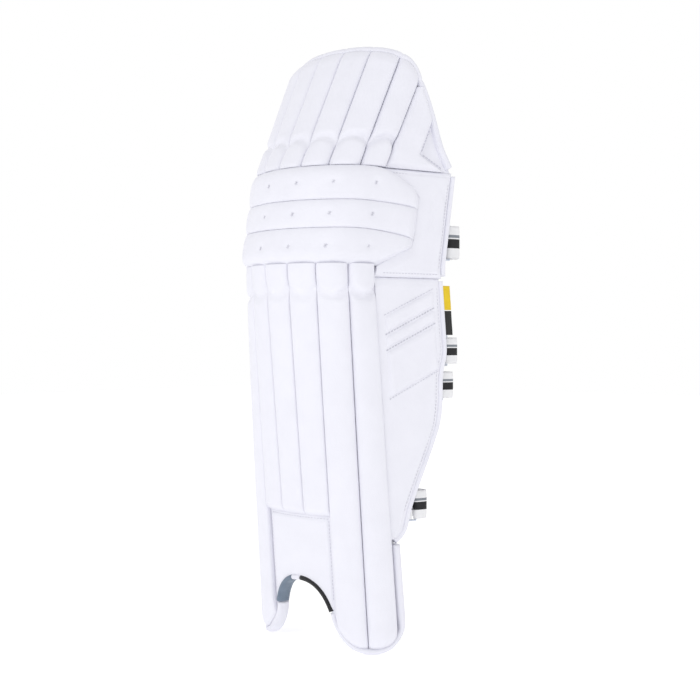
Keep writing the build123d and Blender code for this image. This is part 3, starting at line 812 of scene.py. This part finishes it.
def make_wing_lining():
    """Thin lining behind the knee and calf wings."""
    edge = depth_line(CALF_EDGE)
    rows, u = np.linspace(0, 1, 70)[:, None], np.linspace(0, 1, 25)[None, :]
    z = 300 + rows * (KNEE_TOP - 6 - 300) + 0 * u
    end = np.where(z > CALF_WING_TOP, KNEE_WING_DEPTH, edge(z)) - 6
    depth = WING_START - 4 + u * (end - WING_START + 4)
    shell("wing_lining", side(depth, z), z, -0.6, -1.5, "shin", "lining")


def make_wing_strips():
    """Slanting padded strips, each with a row of stitches along both sides."""
    u, rows = edge_spaced(61)[None, :], edge_spaced(17)[:, None]
    lines = []
    start, end = STRIP_SPAN
    for index, (foot, width) in enumerate(STRIPS):
        depth = start + u * (end - start) + 0 * rows
        z = foot + depth * STRIP_RISE + rows * width
        s = side(depth, z)
        base = WING - 1.0
        swell = rise(np.minimum(rows, 1 - rows) * width, 5) * rise(np.minimum(u, 1 - u) * (end - start), 7)
        outer = base + 0.3 + (STRIP + 0.4) * swell + 0.3 * ripple(s, z, 16, index)
        shell(f"wing_ridge_{index + 1}", s, z, outer, base, "outer_wing", "face_leather",
              nodes=[f"wing_strip_{index + 1}"], fill=0.6)
        run = np.linspace(start - 2, end + 1, 40)
        for lift in (-1.6, width + 1.6):
            height = foot + run * STRIP_RISE + lift
            lines.append((side(run, height), height, WING + 0.3))
    sewn("wing_ridge_stitches", lines, "outer_wing")


def make_tags():
    """Two folded cloth tags, left plain."""
    for index, name in enumerate(("yellow", "black")):
        top = TAG_TOP - index * (TAG_HEIGHT + FIT)
        rows, u = np.linspace(0, 1, 17)[:, None], np.linspace(0, 1, 13)[None, :]
        z = top - TAG_HEIGHT + 0.3 + rows * (TAG_HEIGHT - 0.6) + 0 * u
        start = CALF_EDGE[-1][0] + 1.5
        depth = start + u * (PIPING + FIT + TAG_REACH - 1.5)
        bend = WING / 2 + 0.8 * np.sin(u * 2.4) + 0.25 * ripple(depth, z, 14, index)
        thick = 0.75 + 0.5 * near(1 - u, 0.12)
        shell(f"edge_label_{name}", side(depth, z), z, bend + thick, bend - thick, "outer_wing",
              f"tag_{name}", nodes=[f"edge_tag_{name}"])


# ---------------------------------------------------------------- inner side
def make_inner_wing():
    edge = depth_table([(18, 150), (40, 200), (52, 260), (52, KNEE_TOP)])
    rows, u = np.linspace(0, 1, 100)[:, None], edge_spaced(29)[None, :]
    z = 151 + rows * (KNEE_TOP - 3 - 151) + 0 * u
    start = np.interp(z, [KNEE_BASE - 5, KNEE_BASE + 3], [WING_START, 24])
    end = edge(z) - 0.5
    depth = start + u * (end - start)
    hem = np.minimum(end - depth, np.minimum(z - 151, KNEE_TOP - 3 - z))
    outer = 2.6 + 3.2 * rise(hem, 7) - 1.1 * near(hem - SEAM_INSET, 1.4) + 0.3 * ripple(depth, z, 40, 9)
    shell("inner_wing_cover", -side(depth, z), z, outer, FIT, "shin", "face_leather",
          nodes=["inner_wing"], fill=0.5)
    up = np.linspace(160, KNEE_TOP - 8, 120)
    sewn("inner_wing_stitches", [(-side(edge(up) - 5.5, up), up, 4.9)], "shin")


def bolster(name, sign, start, edge, low, high, fill):
    rows, u = edge_spaced(90)[:, None], edge_spaced(33)[None, :]
    z = low + rows * (high - low) + 0 * u
    depth = start + 0.5 + u * (edge(z) - start - 1)
    middle, half = (BOLSTER_INNER + BOLSTER_OUTER) / 2, (BOLSTER_OUTER - BOLSTER_INNER) / 2
    thick = half * (0.10 + 0.88 * puff(u, 2.4) * puff(rows, 9))
    waves = 0.5 * ripple(depth, z, 20, start + low) * puff(u, 3)
    shell(name, sign * side(depth, z), z, middle + thick, middle - thick - waves, "shin", "lining",
          nodes=[name.replace("_roll", "_bolster")], fill=fill)


def make_bolsters():
    bolster("outer_roll", 1, BOLSTER_START, depth_line(BOLSTER_EDGE), 200, KNEE_TOP - 3, 0.8)
    bolster("inner_roll", -1, BOLSTER_START, lambda z: 48 + 0 * z, 200, KNEE_TOP - 3, 0.8)


# ---------------------------------------------------------------- top hat
def make_top_canes():
    base = KNEE_TOP + 0.25
    rows = np.concatenate([np.linspace(0, 0.4, 45), np.linspace(0.4, 1, 45)[1:]])[:, None]
    t = edge_spaced(21)[None, :]
    for index in range(CANES):
        k = index - EDGE_GROOVE
        s_top = groove(k + t, DOME_TOP)
        z = base + rows * (dome_height(s_top) - 2.5 - base)
        s = groove(k, z) + HAIR + t * (size_at(z, CANE_WIDTH) - 2 * HAIR)
        seam = seam_depth(k + t) - 1.5
        outer = cane_height(t, z, seam, CANE_CROWN, base + CUP_HEIGHT, 1, index + 9)
        outer = 2.5 + (outer - 2.5) * (0.3 + 0.7 * rise(dome_height(s) - z, 16))
        outer = outer - 1.5 * (1 - rise(z - base, 5)) + inner_fullness(s)
        shell(f"top_channel_{index + 1}", s, z, outer, FIT, FOLD, "face_leather",
              nodes=[f"top_hat_cane_{index + 1}"], fill=0.85)


def make_top_backing():
    base = KNEE_TOP + 3.5
    rows, t = edge_spaced(50)[:, None], edge_spaced(91)[None, :]
    s_top = (2 * t - 1) * (groove(EDGE_GROOVE, DOME_TOP) - 1)
    z = base + rows * (dome_height(s_top) - 2 - base)
    s = s_top * groove(EDGE_GROOVE, z) / groove(EDGE_GROOVE, DOME_TOP)
    channels = np.abs(np.sin(math.pi * (s / groove(1, z) * 0.8 + 0.5))) ** 0.7
    hem = rise(np.minimum(dome_height(s) - z, z - base), 8)
    lift = np.clip((base + 2 - z) / 8, 0, 1)
    inner = -BACKING - FIT + 1.4 - 1.4 * channels * hem + 2.0 * lift + 0.2 * ripple(s, z, 20, 1)
    shell("top_hat_lining", s, z, -FIT, inner, FOLD, "backing", nodes=["top_hat_backing"], fill=0.5)


def make_top_side():
    """Padded panel outside the last channel, flat behind the notch between its two lobes."""
    edge = depth_line(top_panel_edge())
    rows, u = edge_spaced(80)[:, None], edge_spaced(61)[None, :]
    low, high = KNEE_TOP + 0.25, top_panel_edge()[-1][1] + 3
    z = low + rows * (high - low) + 0 * u
    end = edge(z) - 1.2
    depth = 0.2 + u * np.maximum(end - 0.2, 1.0)
    (notch_depth, notch_height), (foot_depth, foot_height) = NOTCH
    slope = (notch_height - foot_height) / (foot_depth - notch_depth)
    lower = notch_height - (depth - notch_depth) * slope - z
    upper = notch_depth - 1 - depth
    lobes = np.maximum(rise(lower, 6), rise(upper, 8))
    hem = np.minimum(end - depth, z - low)
    swell = (0.3 + 0.7 * rise(hem + 1, 9)) * (0.35 + 0.65 * rise(depth + 1, 9))
    outer = 2.4 + 8.6 * lobes * swell + 0.3 * ripple(depth, z, 25, 2)
    shell("top_hat_side_cover", side(depth, z), z, outer, FIT, FOLD, "face_leather",
          nodes=["top_hat_side_panel"], fill=0.5)
    along = np.linspace(notch_depth + 2, foot_depth - 4, 30)
    up = np.linspace(notch_height + 2, notch_height + 34, 24)
    sewn("top_hat_side_stitches", [
        (side(along, notch_height), notch_height - (along - notch_depth) * slope + 1.5, 3.2),
        (side(notch_depth + 0.5, up), up, 3.2),
    ], FOLD)


def make_fold():
    """Cloth hinge that joins the top hat to the knee behind the seam."""
    rows, u = np.linspace(0, 1, 24)[:, None], np.linspace(0, 1, 90)[None, :]
    z = KNEE_TOP - 13 + rows * 28 + 0 * u
    s = -side(-6, z) + u * (2 * side(-6, z) + 70)
    shell("top_hat_fold_cloth", s, z, 0.34, -0.3, FOLD, "lining")


def dome_edge():
    """s and z along the top hat's bound edge, from its outer foot over the top to its inner foot."""
    outer_side = [(side(depth, z), z) for depth, z in top_panel_edge()[1:]]
    foot = [(side(91, KNEE_TOP + 6), KNEE_TOP + 6)]
    half = float(groove(EDGE_GROOVE, DOME_TOP))
    over = [(s, float(dome_height(s))) for s in np.linspace(half, -half, 60)]
    inner_side = [(-float(groove(EDGE_GROOVE, z)) - 0.5, z) for z in (650, 620, KNEE_TOP + 5)]
    line = smooth_line(foot + outer_side + over + inner_side, 2.2, 12)
    return line[:, 0], line[:, 1]


def make_top_binding():
    s, z = dome_edge()
    seams = sum(near(s - groove(k, DOME_TOP), 1.6) for k in np.arange(-3.5, 4)) * (z > 640)
    width = TAPE_WIDTH["dome"] - 0.7 * np.minimum(seams, 1)
    high = WING + 1.8 - np.minimum(seams, 1)
    edging("top_hat_tape", s, z, -BACKING - 1.2, high, width, FOLD, "trim_leather",
           nodes=["top_hat_binding"])


# ---------------------------------------------------------------- straps
def side_direction(sign):
    return np.array([sign * math.cos(SIDE_ANGLE), math.sin(SIDE_ANGLE), 0.0])


def side_normal(sign):
    return np.array([sign * math.sin(SIDE_ANGLE), -math.cos(SIDE_ANGLE), 0.0])


def arc_corner(before, corner, after, radius, steps=12):
    """Points of the arc of that radius that rounds a corner."""
    to_before = (before - corner) / np.linalg.norm(before - corner)
    to_after = (after - corner) / np.linalg.norm(after - corner)
    half = math.acos(float(to_before @ to_after)) / 2
    middle = to_before + to_after
    centre = corner + middle / np.linalg.norm(middle) * radius / math.sin(half)
    first = corner + to_before * radius / math.tan(half) - centre
    last = corner + to_after * radius / math.tan(half) - centre
    whole = math.pi - 2 * half
    points = []
    for share in np.linspace(0, 1, steps):
        mix = math.sin((1 - share) * whole) * first + math.sin(share * whole) * last
        points.append(centre + mix / math.sin(whole))
    return points


def ribbon(name, path, z, width, ride, slot, thickness=WEBBING, nodes=()):
    """Flat webbing on edge along a level path, with soft rounded selvedges."""
    path = smooth_line(np.array(path), 1.6, 1.5)
    along = np.concatenate([[0], np.cumsum(np.linalg.norm(np.diff(path, axis=0), axis=1))])
    heading = np.gradient(path, axis=0)
    heading = heading / np.linalg.norm(heading, axis=1)[:, None]
    normal = np.stack([heading[:, 1], -heading[:, 0], 0 * heading[:, 0]], -1)
    across = np.linspace(0, 1, 15)
    thin = thickness / 2 * np.minimum(1, 0.45 + 5 * np.minimum(across, 1 - across))
    loop = [(share, half) for share, half in zip(across, thin)]
    loop += [(share, -half) for share, half in zip(across[::-1], thin[::-1])]
    share = np.array([a for a, b in loop])
    offset = np.array([b for a, b in loop])
    points = path[:, None] + normal[:, None] * offset[None, :, None]
    points[..., 2] = z + (0.5 - share[None, :]) * width
    shares = np.broadcast_to(share, points.shape[:2])
    lengths = np.broadcast_to(along[:, None], points.shape[:2])
    return make_piece(name, points, tube_faces(len(path), len(loop)), ride, slot, nodes=nodes,
                      across=shares, along=lengths)


def make_straps():
    back, out = side_direction(1), side_normal(1)
    wrap = WIRE_RADIUS + WRAP_GAP + WEBBING / 2
    half_turn = (math.pi - SIDE_ANGLE) / 2
    to_corner = wrap + WEBBING + OUTER_BEND * math.tan(half_turn) + FIT
    for name, (z, width, edge, tab_length) in STRAPS.items():
        level = np.array([1.0, 1.0, 0.0])
        rear_bar = surface(side(edge + RING_OUT, z), RING_FACE, z) * level
        front_bar = rear_bar - back * RING_PITCH
        make_ring_tab(name, front_bar, z, width, tab_length, wrap)

        start = surface(-side(BAND_START, z), RING_FACE, z) * level
        corner = rear_bar + back * to_corner - out * wrap
        run = (corner[1] - start[1]) / side_direction(-1)[1]
        inner_corner = start + side_direction(-1) * run
        radius = min(INNER_BEND, 0.9 * run / math.tan(half_turn))
        band_end = rear_bar + back * (wrap + WEBBING) - out * wrap
        path = [start, *arc_corner(start, inner_corner, corner, radius, 24)]
        path += [*arc_corner(inner_corner, corner, band_end, OUTER_BEND), band_end]
        ribbon(f"{name}_band", path, z, width, "shin", "webbing", nodes=[f"{name}_strap_band"])

        turn = np.linspace(0, math.pi, 14)
        hook = [rear_bar - wrap * (math.cos(a) * out + math.sin(a) * back) for a in turn]
        tail_corner = hook[-1] + back * ((corner[1] + WEBBING + FIT - hook[-1][1]) / back[1])
        tail_end = tail_corner - np.array([TAIL_LENGTH, 0, 0])
        path = [*hook, *arc_corner(hook[-1], tail_corner, tail_end, OUTER_BEND), tail_end]
        ribbon(f"{name}_tail_webbing", path, z, width, f"{name}_tail", "webbing",
               nodes=[f"{name}_strap_tail"])


def make_ring_tab(name, front_bar, z, width, length, wrap):
    """Short loop of webbing that holds the ring's front bar."""
    back, out = side_direction(1), side_normal(1)
    turn = np.linspace(0, math.pi, 14)
    loop = [front_bar + wrap * (math.cos(a) * out + math.sin(a) * back) for a in turn]
    far = front_bar - back * length
    near_end = front_bar - back * 6
    path = [far + out * 1.2, near_end + out * 1.3, *loop, near_end - out * 1.3, far - out * 1.2]
    ribbon(f"{name}_ring_loop", path, z, width - 0.5, "shin", "webbing", thickness=WEBBING - 0.4,
           nodes=[f"{name}_ring_tab"])


def dress_rings():
    for name in STRAPS:
        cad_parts[f"{name}_ring"].data.materials.clear()
        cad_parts[f"{name}_ring"].data.materials.append(MATERIALS["ring_metal"])


# ---------------------------------------------------------------- stage, light and camera
def make_floor():
    mesh = bpy.data.meshes.new("floor")
    reach = 6.0
    corners = [(-reach, -reach, 0), (reach, -reach, 0), (reach, reach, 0), (-reach, reach, 0)]
    mesh.from_pydata(corners, [], [(0, 1, 2, 3)])
    mesh.materials.append(floor_material("floor"))
    floor = bpy.data.objects.new("floor", mesh)
    floor.location.z = -0.0005
    bpy.context.scene.collection.objects.link(floor)


def soft_light(name, place_at, aim, size, power):
    data = bpy.data.lights.new(name, "AREA")
    data.shape = "SQUARE"
    data.size = size
    data.energy = power
    light = bpy.data.objects.new(name, data)
    light.location = place_at
    light.rotation_mode = "QUATERNION"
    light.rotation_quaternion = (Vector(aim) - Vector(place_at)).to_track_quat("-Z", "Y")
    bpy.context.scene.collection.objects.link(light)


def make_lights():
    world = bpy.data.worlds.new("studio")
    world.use_nodes = True
    world.node_tree.nodes["Background"].inputs["Color"].default_value = (1, 1, 1, 1)
    tree = world.node_tree
    direction = add(tree, "ShaderNodeSeparateXYZ")
    tree.links.new(add(tree, "ShaderNodeTexCoord").outputs["Generated"], direction.inputs["Vector"])
    overhead = add(tree, "ShaderNodeMapRange")
    overhead.inputs["From Min"].default_value, overhead.inputs["From Max"].default_value = 0.35, 1.0
    overhead.inputs["To Min"].default_value, overhead.inputs["To Max"].default_value = 1.0, 0.72
    tree.links.new(direction.outputs["Z"], overhead.inputs["Value"])
    tree.links.new(overhead.outputs["Result"], tree.nodes["Background"].inputs["Strength"])
    bpy.context.scene.world = world
    middle = (0, 0, 0.36)
    soft_light("key", (0.6, -2.2, 1.6), middle, 0.7, 7)
    bpy.context.scene.view_settings.view_transform = "Standard"


def make_camera():
    """Level with the shin, 42.7 degrees round to the outer side, with the pad left of the middle."""
    azimuth, elevation, distance = math.radians(42.71), math.radians(0.53), 1453.29
    forward, upward = math.cos(elevation), math.sin(elevation)
    back = np.array([math.sin(azimuth) * forward, -math.cos(azimuth) * forward, upward])
    right = np.array([math.cos(azimuth), math.sin(azimuth), 0])
    target = np.array([0, 60, 357.65]) + right * 41.23
    data = bpy.data.cameras.new("camera")
    data.lens, data.sensor_width = 61.26, 36.0
    camera = bpy.data.objects.new("camera", data)
    camera.location = place(target + back * distance)
    camera.rotation_mode = "QUATERNION"
    camera.rotation_quaternion = Vector(back).to_track_quat("Z", "Y")
    bpy.context.scene.collection.objects.link(camera)
    bpy.context.scene.camera = camera


make_shin_canes()
make_instep_panel()
make_foot_edging()
make_shin_backing()
make_shin_liner()
make_knee_rolls()
make_knee_wing()
make_knee_cushions()
make_calf_wing()
make_wing_lining()
make_wing_strips()
make_tags()
make_inner_wing()
make_bolsters()
make_top_canes()
make_top_backing()
make_top_side()
make_fold()
make_top_binding()
make_straps()
dress_rings()
make_floor()
make_lights()
make_camera()
